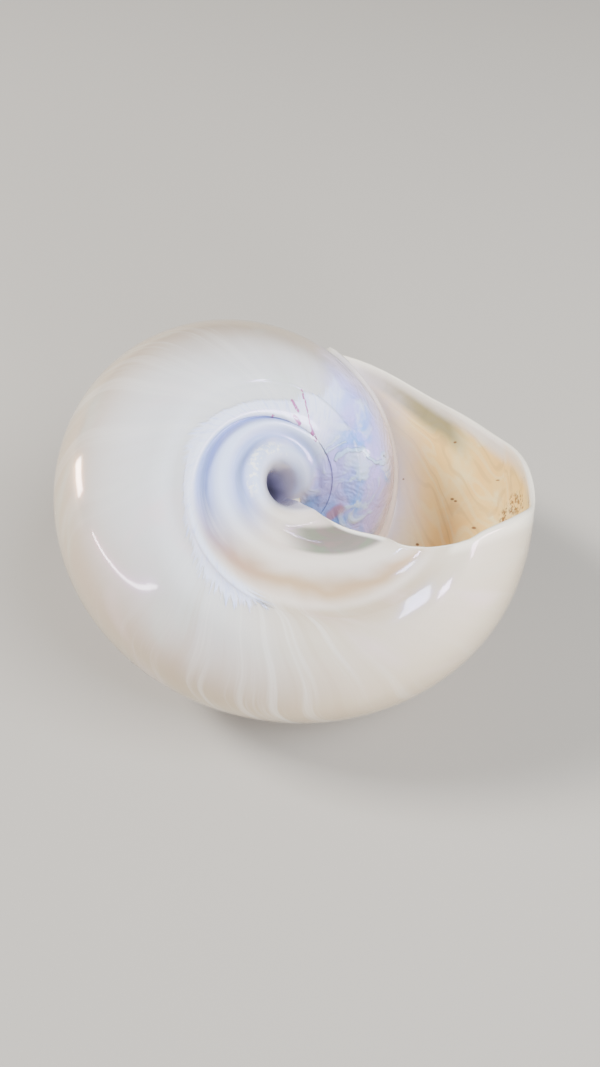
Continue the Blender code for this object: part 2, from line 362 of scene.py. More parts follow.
@dataclass(frozen=True)
class Lie:
    """How the shell lies, in degrees: tipped, leant to one side, laid back, then settled sideways."""

    tip: float = 0.63
    side: float = 15.42
    lay_back: float = 36.1
    settle: float = 0.4

    def facing(self) -> Matrix:
        """The turn from the shell's own axis to the photograph's view of it."""
        return Matrix.Rotation(np.radians(self.side), 4, "Y") @ Matrix.Rotation(np.radians(self.tip), 4, "X")

    def laid(self) -> Matrix:
        """The turn from that view to the floor."""
        back = Matrix.Rotation(np.radians(self.lay_back), 4, "X")
        return Matrix.Rotation(np.radians(self.settle), 4, "Y") @ back


@dataclass
class Sheet:
    """One grid of the shell's surface.

    Args:
        points: places in metres about the shell's axis, by column and row.
        lag: degrees back from the lip along the sheet, by column.
        angle: degrees about the axis, by column and row.
        place: section point of each row.
        inside: zero on the outer wall and one on the cavity's, by row or by column and row.
        kept: which faces stay.
    """

    points: np.ndarray
    lag: np.ndarray
    angle: np.ndarray
    place: np.ndarray
    inside: np.ndarray
    kept: np.ndarray

    def add_to(self, bm: bmesh.types.BMesh, unit: float) -> None:
        """Bends a flat grid to the sheet's points and writes its coordinates.

        Args:
            bm: the mesh it is added to.
            unit: metres per unit.
        """
        columns = self.points.shape[0] - 1
        rows = self.points.shape[1] - 1
        made = bmesh.ops.create_grid(bm, x_segments=columns, y_segments=rows, size=1.0)["verts"]
        cell = {}
        for vert in made:
            cell[vert] = round((vert.co.x + 1) / 2 * columns), round((vert.co.y + 1) / 2 * rows)
            vert.co = self.points[cell[vert]]
        maps = {kind: bm.loops.layers.uv.get(kind.value) for kind in Map}
        dropped = []
        for face in {face for vert in made for face in vert.link_faces}:
            corner = min(cell[vert] for vert in face.verts)
            if not self.kept[corner]:
                dropped.append(face)
                continue
            for loop in face.loops:
                at = cell[loop.vert]
                co = self.points[at]
                loop[maps[Map.GROWTH]].uv = (self.lag[at[0]] / 360, self.place[at[1]])
                loop[maps[Map.BASE]].uv = (co[0] / unit, co[1] / unit)
                loop[maps[Map.ZONE]].uv = (self.inside[at], self.angle[at] / 360)
        bmesh.ops.delete(bm, geom=dropped, context="FACES")


@dataclass
class TurbanShell:
    """The whole shell, as one closed piece.

    Args:
        growth: how it grows.
        section: its section.
        lie: how it lies.
        lean: degrees that the growth line runs ahead of the lip's zero, at each section point.
        column: degrees from one growth line to the next.
        rows: mesh rows from each section point.
        row_angle: the rows are spaced by the section here.
        seam_turn: degrees from a seam back to the turn it runs along.
        spire_turn: degrees of spire.
        cavity_turn: degrees of cavity.
        hollow_turn: degrees of hollow.
        rim_round: how far the lip's edge bulges, in units.
        weld: metres within which points are one.
    """

    growth: Growth = field(default_factory=Growth)
    section: Section = field(default_factory=Section)
    lie: Lie = field(default_factory=Lie)
    lean: tuple[float, ...] = (
        65.5, 61.0, 58.5, 38.3, 23.3, 13.0, 11.0, 5.5, -2.0, -5.0, -8.5, -16.0,
        -22.5, -25.0, -31.0, -37.0, -45.0, -66.0, -74.0, -68.0, -46.0, -21.5,
    )
    column: float = 1.5
    rows: tuple[int, ...] = (3, 3, 5, 6, 6, 3, 4, 6, 6, 6, 6, 3, 4, 4, 6, 6, 6, 3, 6, 6, 3)
    row_angle: float = -150.0
    seam_turn: float = 307.5
    spire_turn: float = 1320.0
    cavity_turn: float = 360.0
    hollow_turn: float = 675.0
    rim_round: float = 0.006
    weld: float = 1e-7

    def sheets(self) -> list[Sheet]:
        """The outer sheet, the cavity's wall and the lip's edge.

        Returns:
            The three sheets.
        """
        growth = self.growth
        section = self.section
        nominal = section.points(growth, np.array([self.row_angle]))[0]
        knots = np.concatenate([[0], np.cumsum(np.hypot(*np.diff(nominal, axis=0).T))])
        shares = [np.arange(count) / count + i for i, count in enumerate(self.rows)]
        index = np.concatenate([*shares, [len(self.rows)]])
        starts = np.concatenate([[0], np.cumsum(self.rows)])
        places = np.interp(index, np.arange(len(knots)), knots)
        weights = spline(knots, places)
        columns = round(self.spire_turn / self.column)
        lag = np.arange(-columns, 1) * self.column
        angle = lag[:, None] + (weights @ np.array(self.lean))[None, :]
        points = section.points(growth, angle)
        flat = np.einsum("rk,crkj->crj", weights, points)
        inward = self.turned(np.einsum("rk,crkj->crj", slope(knots, places), points))
        point_inward = self.turned(np.einsum("qk,crkj->crqj", slope(knots, knots), points))
        inner_points = section.inner_points(growth, points, angle, point_inward)
        cavity = np.einsum("rk,crkj->crj", weights, inner_points)
        first = places[starts[2]]
        last = places[starts[-2]]
        end_share = ease(places / first) * ease((places[-1] - places) / (places[-1] - last))
        lip_share = (1 - ease(-lag / section.wall_ramp))[:, None, None] * end_share[None, :, None]
        cavity = cavity * (1 - lip_share) + (flat + section.rim * inward) * lip_share
        outer = growth.in_space(flat, angle)
        inner = growth.in_space(cavity, angle)
        seam_columns = round(self.seam_turn / self.column)
        seam = starts[section.seam_point]
        hollow = starts[section.hollow_point]
        step = self.rows[section.seam_point]
        inner[seam_columns:, 0] = outer[:-seam_columns, seam + step]
        inner[seam_columns:, -1] = outer[:-seam_columns, hollow - step]
        outer[seam_columns:, 0] = outer[:-seam_columns, seam]
        outer[seam_columns:, -1] = outer[:-seam_columns, hollow]
        kept = self.kept(angle.shape, seam, hollow, step)
        return [
            Sheet(outer, lag, angle, index, np.zeros(angle.shape), kept),
            self.cavity_sheet(inner, lag, angle, index),
            self.rim_sheet(outer, inner, angle, index, seam, hollow, step),
        ]

    def turned(self, slopes: np.ndarray) -> np.ndarray:
        """Unit directions a quarter turn from the section's own, into the whorl."""
        length = np.linalg.norm(slopes, axis=-1, keepdims=True)
        return np.stack([-slopes[..., 1], slopes[..., 0]], -1) / length

    def kept(self, shape: tuple[int, ...], seam: int, hollow: int, step: int) -> np.ndarray:
        """Which faces of the outer sheet stay: the rest lie inside the shell's own wall.

        Args:
            shape: points by column and row.
            seam: the row of the outer seam.
            hollow: the row of the inner seam.
            step: rows that a seam's wall covers.

        Returns:
            Whether each face stays, by column and row.
        """
        columns = shape[0] - 1
        seams = round(self.seam_turn / self.column)
        cavity = round(self.cavity_turn / self.column)
        kept = np.zeros((columns, shape[1] - 1), bool)
        kept[:, :seam] = True
        kept[columns - seams :, seam:hollow] = True
        kept[columns - cavity - seams :, seam + step : hollow - step] = True
        kept[columns - round(self.hollow_turn / self.column) :, hollow:] = True
        return kept

    def cavity_sheet(
        self, inner: np.ndarray, lag: np.ndarray, angle: np.ndarray, index: np.ndarray
    ) -> Sheet:
        """The cavity's wall.

        Args:
            inner: its points by column and row.
            lag: degrees back from the lip, by column.
            angle: degrees about the axis.
            index: section point of each row.

        Returns:
            Its sheet.
        """
        first = len(lag) - 1 - round(self.cavity_turn / self.column)
        shape = inner[first:].shape
        kept = np.ones((shape[0] - 1, shape[1] - 1), bool)
        return Sheet(inner[first:], lag[first:], angle[first:], index, np.ones(shape[:2]), kept)

    def rim_sheet(
        self,
        outer: np.ndarray,
        inner: np.ndarray,
        angle: np.ndarray,
        index: np.ndarray,
        seam: int,
        hollow: int,
        step: int,
    ) -> Sheet:
        """The lip's rounded edge, from the outer sheet to the cavity's wall.

        Args:
            outer: the outer sheet's points.
            inner: the cavity's points.
            angle: degrees about the axis.
            index: section point of each row.
            seam: the row of the outer seam.
            hollow: the row of the inner seam.
            step: mesh steps across the edge.

        Returns:
            Its sheet.
        """
        share = np.linspace(0, 1, step + 1)[:, None, None]
        rim = outer[-1][None] * (1 - share) + inner[-1][None] * share
        ahead = outer[-1] - outer[-2]
        ahead /= np.linalg.norm(ahead, axis=-1, keepdims=True)
        rim += np.sin(np.pi * share) * ahead[None] * self.rim_round * self.growth.unit
        older = outer[-1 - round(self.seam_turn / self.column)]
        rim[:, 0] = older[seam : seam + step + 1]
        rim[:, -1] = older[hollow - step : hollow + 1][::-1]
        inside = np.broadcast_to(share[..., 0], rim.shape[:2])
        turns = np.broadcast_to(angle[-1], rim.shape[:2])
        kept = np.ones((step, rim.shape[1] - 1), bool)
        return Sheet(rim, np.zeros(step + 1), turns, index, inside, kept)

    def close_ends(self, bm: bmesh.types.BMesh) -> None:
        """Fills the cavity's far end, the hollow's floor and the spire's tip.

        Args:
            bm: the shell's mesh.
        """
        left = {edge for edge in bm.edges if len(edge.link_faces) == 1}
        while left:
            loop = [left.pop()]
            for edge in loop:
                for vert in edge.verts:
                    for other in vert.link_edges:
                        if other in left:
                            left.remove(other)
                            loop.append(other)
            ends = bmesh.ops.edgeloop_fill(bm, edges=loop)["faces"]
            bmesh.ops.triangulate(bm, faces=ends, quad_method="BEAUTY", ngon_method="BEAUTY")

    def build(self) -> tuple[bpy.types.Object, Vector]:
        """Models the shell as it lies.

        Returns:
            The shell's object, and the move that put it on the floor after its turns.
        """
        bm = bmesh.new()
        for kind in Map:
            bm.loops.layers.uv.new(kind.value)
        for sheet in self.sheets():
            sheet.add_to(bm, self.growth.unit)
        bmesh.ops.remove_doubles(bm, verts=bm.verts, dist=self.weld)
        self.close_ends(bm)
        bmesh.ops.recalc_face_normals(bm, faces=bm.faces)
        bmesh.ops.transform(bm, matrix=self.lie.laid() @ self.lie.facing(), verts=bm.verts)
        corners = np.array([vert.co for vert in bm.verts])
        low = corners.min(axis=0)
        high = corners.max(axis=0)
        under = Vector((-(low[0] + high[0]) / 2, -(low[1] + high[1]) / 2, -low[2]))
        bmesh.ops.translate(bm, vec=under, verts=bm.verts)
        mesh = bpy.data.meshes.new("polished_shell")
        bm.to_mesh(mesh)
        bm.free()
        mesh.shade_smooth()
        shell = bpy.data.objects.new("polished_shell", mesh)
        bpy.context.scene.collection.objects.link(shell)
        return shell, under


@dataclass
class NodeMaker:
    """Short calls that build one material's nodes.

    Args:
        name: the material's name.
    """

    name: str

    def __post_init__(self) -> None:
        """Makes the material."""
        self.material = bpy.data.materials.new(self.name)
        self.material.use_nodes = True
        self.tree = self.material.node_tree
        self.shader = self.tree.nodes["Principled BSDF"]

    def node(self, kind: str, **settings: str | bool) -> bpy.types.Node:
        """A new node.

        Args:
            kind: its type, without the ShaderNode in front.
            settings: its properties.

        Returns:
            The node.
        """
        made = self.tree.nodes.new("ShaderNode" + kind)
        for key, value in settings.items():
            setattr(made, key, value)
        return made

    def feed(self, socket: Socket, value: Level | Colour | Vector) -> None:
        """Links a socket to another, or sets it.

        Args:
            socket: the input.
            value: an output socket, or what to set.
        """
        if isinstance(value, bpy.types.NodeSocket):
            self.tree.links.new(value, socket)
        elif isinstance(value, tuple) and socket.type == "RGBA":
            socket.default_value = (*value, 1.0)
        else:
            socket.default_value = value

    def sum(self, operation: str, a: Level, b: Level = 0.0, clamp: bool = False) -> Socket:
        """One step of arithmetic on two levels.

        Args:
            operation: Blender's name for it.
            a: the first level.
            b: the second.
            clamp: whether the result is kept from zero to one.

        Returns:
            The result.
        """
        made = self.node("Math", operation=operation, use_clamp=clamp)
        self.feed(made.inputs[0], a)
        self.feed(made.inputs[1], b)
        return made.outputs[0]

    def times(self, *levels: Level) -> Socket:
        """The levels multiplied together."""
        made = levels[0]
        for level in levels[1:]:
            made = self.sum("MULTIPLY", made, level)
        return made

    def plus(self, *levels: Level) -> Socket:
        """The levels added together."""
        made = levels[0]
        for level in levels[1:]:
            made = self.sum("ADD", made, level)
        return made

    def step(self, value: Level, low: float, high: float, top: float = 1.0) -> Socket:
        """Zero below low, eased to top at high. Low may be the larger.

        Args:
            value: the level read.
            low: where it starts.
            high: where it ends.
            top: the level it reaches.

        Returns:
            The eased level.
        """
        made = self.node("MapRange", interpolation_type="SMOOTHSTEP")
        self.feed(made.inputs["Value"], value)
        if low < high:
            self.feed(made.inputs["From Min"], low)
            self.feed(made.inputs["From Max"], high)
            self.feed(made.inputs["To Max"], top)
        else:
            self.feed(made.inputs["From Min"], high)
            self.feed(made.inputs["From Max"], low)
            self.feed(made.inputs["To Min"], top)
            self.feed(made.inputs["To Max"], 0.0)
        return made.outputs["Result"]

    def band(self, value: Level, low: float, high: float, soft: float, soft_high: float = 0.0) -> Socket:
        """One between low and high, and zero outside, with soft edges.

        Args:
            value: the level read.
            low: the lower edge's middle.
            high: the upper edge's middle.
            soft: the lower edge's half width, and the upper one's if that isn't given.
            soft_high: the upper edge's half width.

        Returns:
            The level between the edges.
        """
        upper = soft_high or soft
        return self.times(
            self.step(value, low - soft, low + soft), self.step(value, high + upper, high - upper)
        )

    def vector(self, x: Level, y: Level, z: Level = 0.0) -> Socket:
        """A place from its three levels.

        Args:
            x: its first level.
            y: its second.
            z: its third.

        Returns:
            The place.
        """
        made = self.node("CombineXYZ")
        for socket, value in zip(made.inputs, (x, y, z)):
            self.feed(socket, value)
        return made.outputs[0]

    def uv(self, kind: Map) -> tuple[Socket, Socket]:
        """The two levels of one of the shell's own coordinates.

        Args:
            kind: which of them.

        Returns:
            Its two levels.
        """
        read = self.node("UVMap", uv_map=kind.value)
        split = self.node("SeparateXYZ")
        self.feed(split.inputs[0], read.outputs[0])
        return split.outputs[0], split.outputs[1]

    def place(self) -> Socket:
        """The place on the shell, in metres."""
        return self.node("TexCoord").outputs["Object"]

    def noise(
        self, at: Socket, scale: float, detail: float, rough: float = 0.5, warp: float = 0.0
    ) -> Socket:
        """Cloudy variation around a half.

        Args:
            at: the place read.
            scale: how fine it is.
            detail: how many finer layers it has.
            rough: how strong those are.
            warp: how far it is distorted.

        Returns:
            The variation, from zero to one.
        """
        made = self.node("TexNoise")
        self.feed(made.inputs["Vector"], at)
        made.inputs["Scale"].default_value = scale
        made.inputs["Detail"].default_value = detail
        made.inputs["Roughness"].default_value = rough
        made.inputs["Distortion"].default_value = warp
        return made.outputs["Fac"]

    def grown(
        self, on: "Surface", by_turn: float, by_point: float, detail: float, rough: float, warp: float = 0.0
    ) -> Socket:
        """Cloudy variation drawn out along the growth lines.

        Args:
            on: the shell's coordinates.
            by_turn: how fine it is round the shell, over a turn.
            by_point: and along a growth line, over a section point.
            detail: how many finer layers it has.
            rough: how strong those are.
            warp: how far it is distorted.

        Returns:
            The variation, from zero to one.
        """
        at = self.vector(self.times(on.lag, by_turn), self.times(on.point, by_point))
        return self.noise(at, 1.0, detail, rough, warp)

    def moved(self, value: Level, cloud: Socket, reach: float) -> Socket:
        """A level moved up and down by cloudy variation.

        Args:
            value: the level.
            cloud: the variation, around a half.
            reach: how far it moves the level.

        Returns:
            The moved level.
        """
        return self.plus(value, self.times(self.plus(cloud, -0.5), reach))

    def curve(self, value: Level, table: Table) -> Socket:
        """A level read off a smooth curve.

        Args:
            value: the level that it is read at.
            table: levels and the curve's values there.

        Returns:
            The curve's level there.
        """
        starts = [row[0] for row in table]
        values = [row[1] for row in table]
        span = starts[-1] - starts[0]
        low = min(values)
        reach = max(values) - low
        made = self.node("FloatCurve")
        points = made.mapping.curves[0].points
        for i, (start, result) in enumerate(table):
            at = ((start - starts[0]) / span, (result - low) / reach)
            if i in (0, len(table) - 1):
                points[0 if i == 0 else -1].location = at
            else:
                points.new(*at)
        made.mapping.update()
        self.feed(made.inputs["Value"], self.times(self.plus(value, -starts[0]), 1 / span))
        return self.plus(self.times(made.outputs[0], reach), low)

    def warped(self, on: "Surface", scale: float, reach: float) -> tuple[Socket, Socket]:
        """The places about the axis, pushed about a little by noise.

        Args:
            on: the shell's coordinates.
            scale: how fine the noise is, over a unit.
            reach: how far it pushes, in units.

        Returns:
            The two levels of the places.
        """
        at = self.vector(on.x, on.y)
        across = self.noise(at, scale, 2.0)
        up = self.noise(self.vector(on.y, on.x, 3.0), scale, 2.0)
        return self.moved(on.x, across, 2 * reach), self.moved(on.y, up, 2 * reach)

    def spot(self, at: tuple[Socket, Socket], round_it: Band) -> Socket:
        """One at a place, and zero past a radius.

        Args:
            at: the places read.
            round_it: the spot's middle and its radius.

        Returns:
            The level at the places.
        """
        x, y, radius = round_it
        across = self.plus(at[0], -x)
        up = self.plus(at[1], -y)
        return self.step(self.length(across, up), radius, radius * 0.5)

    def length(self, across: Level, up: Level) -> Socket:
        """The length of a move of two levels."""
        return self.sum("SQRT", self.plus(self.times(across, across), self.times(up, up)))

    def segment(self, at: tuple[Socket, Socket], stroke: Stroke) -> Socket:
        """One along a straight stroke, and zero past its half width.

        Args:
            at: the places read.
            stroke: its ends and its half width.

        Returns:
            The level at the places.
        """
        x, y, end_x, end_y, width = stroke
        run = (end_x - x, end_y - y)
        length = run[0] ** 2 + run[1] ** 2
        across = self.plus(at[0], -x)
        up = self.plus(at[1], -y)
        along_it = self.plus(self.times(across, run[0] / length), self.times(up, run[1] / length))
        share = self.sum("MAXIMUM", self.sum("MINIMUM", along_it, 1.0), 0.0)
        off_x = self.plus(across, self.times(share, -run[0]))
        off_y = self.plus(up, self.times(share, -run[1]))
        return self.step(self.length(off_x, off_y), width, width * 0.4)

    def strokes(self, at: tuple[Socket, Socket], strokes: tuple[Stroke, ...]) -> Socket:
        """One along any of several strokes, and zero past their half widths.

        Args:
            at: the places read.
            strokes: their ends and half widths.

        Returns:
            The level at the places.
        """
        shown: Level = 0.0
        for stroke in strokes:
            shown = self.sum("MAXIMUM", shown, self.segment(at, stroke))
        return shown

    def mix(self, share: Level, a: Socket | Colour, b: Socket | Colour, way: str = "MIX") -> Socket:
        """One colour going over to another.

        Args:
            share: how much of the second shows.
            a: the first colour.
            b: the second.
            way: Blender's name for how they are mixed.

        Returns:
            The mixed colour.
        """
        made = self.node("Mix", data_type="RGBA", blend_type=way)
        self.feed(made.inputs[0], share)
        self.feed(made.inputs[6], a)
        self.feed(made.inputs[7], b)
        return made.outputs[2]


@dataclass(frozen=True)
class Surface:
    """The shell's own coordinates, as a material reads them.

    Args:
        lag: turns back from the lip along the sheet.
        point: section point.
        x: sideways place about the axis, in units.
        y: the other one.
        inside: zero on the outer wall and one on the cavity's.
        turn: turns about the axis.
        place: the place in metres.
        outside: one on the outer wall and zero on the cavity's.
    """

    lag: Socket
    point: Socket
    x: Socket
    y: Socket
    inside: Socket
    turn: Socket
    place: Socket
    outside: Socket

    @classmethod
    def read(cls, nodes: NodeMaker) -> "Surface":
        """Reads the coordinates into a material.

        Args:
            nodes: the material's nodes.

        Returns:
            The coordinates.
        """
        inside, turn = nodes.uv(Map.ZONE)
        outside = nodes.step(inside, 0.5, 0.2)
        return cls(*nodes.uv(Map.GROWTH), *nodes.uv(Map.BASE), inside, turn, nodes.place(), outside)


@dataclass(frozen=True)
class Layer:
    """What one finish adds.

    Args:
        share: how much of it shows.
        colour: its colour.
        height: how far it stands up, in millimetres.
        rough: what it adds to the roughness.
    """

    share: Level
    colour: Socket | Colour
    height: Level = 0.0
    rough: Level = 0.0


@dataclass(frozen=True)
class OuterPearl:
    """The polished outside: grey-white, warmer towards the lip, with pale streaks along the growth lines.
    Its beige at the widest line is painted warm reflection and shade, and its beige beside the ridges near
    the lip is painted shade seen through the thin wall.

    Args:
        cool: its main colour.
        warm: its colour near the lip.
        beige: its colour at the widest line, painted warm reflection and shade there, and beside the base's
            ridges, painted shade seen through the thin wall.
        pale: the light streaks.
        pink: one of two faint bands of sheen.
        green: the other.
        warming: turns back from the lip over which it goes warm.
        widest: section points over which the painted warm reflection and shade go beige, and how much.
        beside: section points of the painted beige shade beside the ridges, and its soft edge.
        beside_turns: turns back from the lip of that beige, and its soft edge.
        streaked: turns back from the lip where most streaks are, and their soft edge.
        older: turns back over which more come on the older turn, and how much.
        pale_level: the fine variation's levels that show pale.
        dark_level: and those that show dark.
        streak_height: how far the streaks stand up, in millimetres.
    """

    cool: Colour = srgb(205, 206, 210)
    warm: Colour = srgb(208, 196, 178)
    beige: Colour = srgb(176, 152, 124)
    pale: Colour = srgb(228, 226, 222)
    pink: Colour = srgb(218, 196, 200)
    green: Colour = srgb(192, 202, 194)
    warming: Span = (-0.52, -0.05)
    widest: Band = (10.9, 7.6, 0.78)
    beside: Band = (11.7, 13.6, 0.7)
    beside_turns: Band = (-0.20, -0.03, 0.04)
    streaked: Band = (-0.37, -0.17, 0.05)
    older: Band = (-0.45, -0.60, 0.40)
    pale_level: Span = (0.50, 0.68)
    dark_level: Span = (0.48, 0.30)
    streak_height: float = 0.012

    def layer(self, nodes: NodeMaker, on: Surface) -> Layer:
        """Builds the finish.

        Args:
            nodes: the material's nodes.
            on: the shell's coordinates.

        Returns:
            What the finish adds.
        """
        cloud = nodes.noise(on.place, 28.0, 3.0, 0.5, 0.6)
        warm = nodes.moved(nodes.step(on.lag, *self.warming), cloud, 0.9)
        colour = nodes.mix(nodes.step(warm, 0.1, 0.95), self.cool, self.warm)
        # Painted warm reflection and shade: beige towards the widest line, at the shell's outline.
        edge = nodes.moved(on.point, cloud, 2.0)
        colour = nodes.mix(nodes.step(edge, *self.widest), colour, self.beige)
        # Painted shade seen through the thin wall: beige beside the ridges, near the lip.
        beside = nodes.times(nodes.band(edge, *self.beside), nodes.band(on.lag, *self.beside_turns))
        colour = nodes.mix(nodes.times(beside, 0.55), colour, self.beige)
        sheen = nodes.grown(on, 11.0, 0.30, 2.0, 0.5, 0.8)
        colour = nodes.mix(nodes.step(sheen, 0.56, 0.80, 0.55), colour, self.pink)
        colour = nodes.mix(nodes.step(sheen, 0.44, 0.22, 0.50), colour, self.green)
        fine = nodes.grown(on, 58.0, 0.07, 4.0, 0.62)
        zone = nodes.plus(nodes.band(on.lag, *self.streaked), nodes.step(on.lag, *self.older), 0.15)
        streak = nodes.times(nodes.step(fine, *self.pale_level), zone)
        colour = nodes.mix(nodes.sum("MULTIPLY", streak, 0.50, clamp=True), colour, self.pale)
        shade = nodes.times(nodes.step(fine, *self.dark_level), zone)
        colour = nodes.mix(nodes.sum("MULTIPLY", shade, 0.20, clamp=True), colour, self.beige)
        return Layer(1.0, colour, nodes.times(fine, self.streak_height))


@dataclass(frozen=True)
class Callus:
    """The white glaze laid over the base, with a feathered edge.

    Args:
        white: its colour.
        blue: its fibres.
        edge: the section point of its outer edge, by turns back from the lip.
        end: where it stops short of the lip, in turns back.
        tail: turns back from the lip where its fibres are longest, and the soft edge.
        mouth: turns back over which its relief gives way to the mouth's nacre.
        inner: section points over which it stops at the outer groove.
        lifted: turns back over which that edge moves in across the folds, and by how many points.
        height: millimetres.
        fibre_height: millimetres.
        rough: what it adds to the roughness.
    """

    white: Colour = srgb(226, 232, 255)
    blue: Colour = srgb(174, 190, 250)
    edge: Table = (
        (-0.90, 6.5), (-0.83, 8.6), (-0.79, 10.3), (-0.72, 11.8), (-0.655, 12.45), (-0.59, 12.45),
        (-0.51, 11.8), (-0.445, 12.1), (-0.39, 11.85), (-0.315, 11.3), (-0.275, 11.5), (-0.22, 12.6),
    )
    end: float = -0.235
    tail: Band = (-0.37, -0.20, 0.03)
    mouth: Span = (-0.86, -0.76)
    inner: Span = (13.65, 13.05)
    lifted: Band = (-0.66, -0.73, 1.5)
    height: float = 0.16
    fibre_height: float = 0.06
    rough: float = 0.10

    def layer(self, nodes: NodeMaker, on: Surface) -> Layer:
        """Builds the finish.

        Args:
            nodes: the material's nodes.
            on: the shell's coordinates.

        Returns:
            What the finish adds.
        """
        fibre = nodes.grown(on, 170.0, 0.9, 3.0, 0.6)
        finger = nodes.grown(on, 12.0, 7.0, 3.0, 0.6)
        even = nodes.plus(fibre, -0.5)
        reach = nodes.plus(nodes.times(nodes.band(on.lag, *self.tail), 1.1), 0.8)
        past = nodes.plus(
            on.point, nodes.times(nodes.curve(on.lag, self.edge), -1.0), nodes.times(even, reach)
        )
        front = nodes.moved(on.lag, finger, 0.11)
        stop = nodes.step(front, self.end + 0.010, self.end - 0.012)
        lifted = nodes.times(nodes.step(on.lag, *self.lifted), -1.0)
        inner = nodes.step(nodes.plus(on.point, lifted), *self.inner)
        share = nodes.times(nodes.step(past, -0.16, 0.20), stop, inner, on.outside)
        colour = nodes.mix(nodes.step(fibre, 0.45, 0.75, 0.6), self.white, self.blue)
        feather = nodes.times(nodes.band(past, -0.1, 0.5, 0.2), even, self.fibre_height)
        height = nodes.times(share, nodes.step(on.lag, *self.mouth), nodes.plus(feather, self.height))
        return Layer(share, colour, height, nodes.times(share, self.rough))


@dataclass(frozen=True)
class Folds:
    """The ridges and grooves round the pillar: lavender further in, cream and beige towards the lip. The
    grooves' darker blue and brown are painted shade, the beige band is painted shade seen through the thin
    wall, and the inner roll's crest has a painted glint.

    Args:
        ridge: the ridges' colour further in.
        groove: painted blue shade in the grooves there.
        cream: the ridges' colour towards the lip.
        brown: painted shade in the outer groove as it turns warm.
        beige: and towards the lip, painted shade of the hollow seen through the thin wall.
        painted_crest_glint: a painted glint: the pitted, shining crest of the inner roll.
        outer_groove: its section points, and its soft edge.
        inner_groove: the same.
        bank: section points of the painted warm band, and its soft edges.
        browning: turns back from the lip over which its brown goes over to beige.
        crest: section points of the crest's painted glint, and its soft edge.
        crest_turns: turns back from the lip that it covers, and its soft edge.
        warming: turns back over which lavender goes over to cream.
        start: section points over which the folds begin.
        mouth: turns back over which they give way to the mouth's nacre.
        streak_height: millimetres.
    """

    ridge: Colour = srgb(206, 219, 254)
    groove: Colour = srgb(150, 167, 226)
    cream: Colour = srgb(226, 216, 207)
    brown: Colour = srgb(176, 140, 118)
    beige: Colour = srgb(190, 160, 124)
    painted_crest_glint: Colour = srgb(252, 253, 255)
    outer_groove: Band = (13.55, 14.65, 0.35)
    inner_groove: Band = (15.45, 16.5, 0.35)
    bank: tuple[float, float, float, float] = (13.7, 14.35, 0.45, 0.40)
    browning: Span = (-0.30, -0.18)
    crest: Band = (16.55, 17.25, 0.15)
    crest_turns: Band = (-0.56, -0.30, 0.04)
    warming: Span = (-0.43, -0.27)
    start: Span = (13.1, 13.6)
    mouth: Span = (-0.86, -0.80)
    streak_height: float = 0.030

    def layer(self, nodes: NodeMaker, on: Surface) -> Layer:
        """Builds the finish.

        Args:
            nodes: the material's nodes.
            on: the shell's coordinates.

        Returns:
            What the finish adds.
        """
        streak = nodes.grown(on, 7.0, 5.5, 3.0, 0.55, 0.3)
        wavy = nodes.grown(on, 13.0, 0.6, 2.0, 0.5, 0.5)
        # Painted shade: the grooves go darker blue than the ridges.
        inner = nodes.times(nodes.band(on.point, *self.inner_groove), 0.8)
        deep = nodes.sum("MAXIMUM", nodes.band(on.point, *self.outer_groove), inner)
        shade = nodes.sum("MULTIPLY", deep, nodes.plus(0.45, streak), clamp=True)
        cold = nodes.mix(shade, self.ridge, self.groove)
        cold = nodes.mix(nodes.step(streak, 0.52, 0.70, 0.45), cold, self.ridge)
        # Painted shade: brown in the outer groove, going over to beige where the hollow shows through the
        # thin wall near the lip.
        tint = nodes.mix(nodes.step(on.lag, *self.browning), self.brown, self.beige)
        warm = nodes.mix(nodes.band(nodes.moved(on.point, wavy, 0.7), *self.bank), self.cream, tint)
        # Painted highlight: pitted glints on the inner roll's crest.
        grain = nodes.noise(on.place, 950.0, 3.0, 0.65)
        crest = nodes.times(nodes.band(on.point, *self.crest), nodes.band(on.lag, *self.crest_turns))
        cold = nodes.mix(nodes.times(crest, nodes.step(grain, 0.47, 0.60)), cold, self.painted_crest_glint)
        front = nodes.plus(on.lag, nodes.times(nodes.plus(on.point, -14.0), -0.035))
        colour = nodes.mix(nodes.step(front, *self.warming), cold, warm)
        share = nodes.times(nodes.step(on.point, *self.start), on.outside, nodes.step(on.lag, *self.mouth))
        share = nodes.times(share, nodes.step(on.lag, 0.02, -0.03))
        return Layer(share, colour, nodes.times(share, nodes.plus(streak, -0.5), self.streak_height))


@dataclass(frozen=True)
class Facet:
    """The smooth hollowed face beside the pillar's lip: grey with green and pink.

    Args:
        grey: its main colour.
        green: one of its tints.
        pink: the other.
        edge: its pale end at the lip.
        points: its section points, and its soft edge.
        fade: turns back from the lip over which it fades in.
        rim: turns back over which its pale end begins.
        rough: what it adds to the roughness.
    """

    grey: Colour = srgb(136, 130, 123)
    green: Colour = srgb(130, 137, 120)
    pink: Colour = srgb(146, 130, 126)
    edge: Colour = srgb(240, 236, 228)
    points: Band = (15.45, 16.75, 0.16)
    fade: Span = (-0.20, -0.10)
    rim: Span = (-0.012, -0.003)
    rough: float = -0.04

    def layer(self, nodes: NodeMaker, on: Surface) -> Layer:
        """Builds the finish.

        Args:
            nodes: the material's nodes.
            on: the shell's coordinates.

        Returns:
            What the finish adds.
        """
        cloud = nodes.grown(on, 16.0, 1.6, 2.0, 0.5, 1.2)
        colour = nodes.mix(nodes.step(cloud, 0.50, 0.64), self.grey, self.green)
        colour = nodes.mix(nodes.step(cloud, 0.46, 0.30), colour, self.pink)
        colour = nodes.mix(nodes.step(on.lag, *self.rim), colour, self.edge)
        slant = nodes.plus(on.lag, nodes.times(nodes.plus(on.point, -16.0), -0.03))
        share = nodes.times(nodes.band(on.point, *self.points), nodes.step(slant, *self.fade), on.outside)
        return Layer(share, colour, 0.0, nodes.times(share, self.rough))


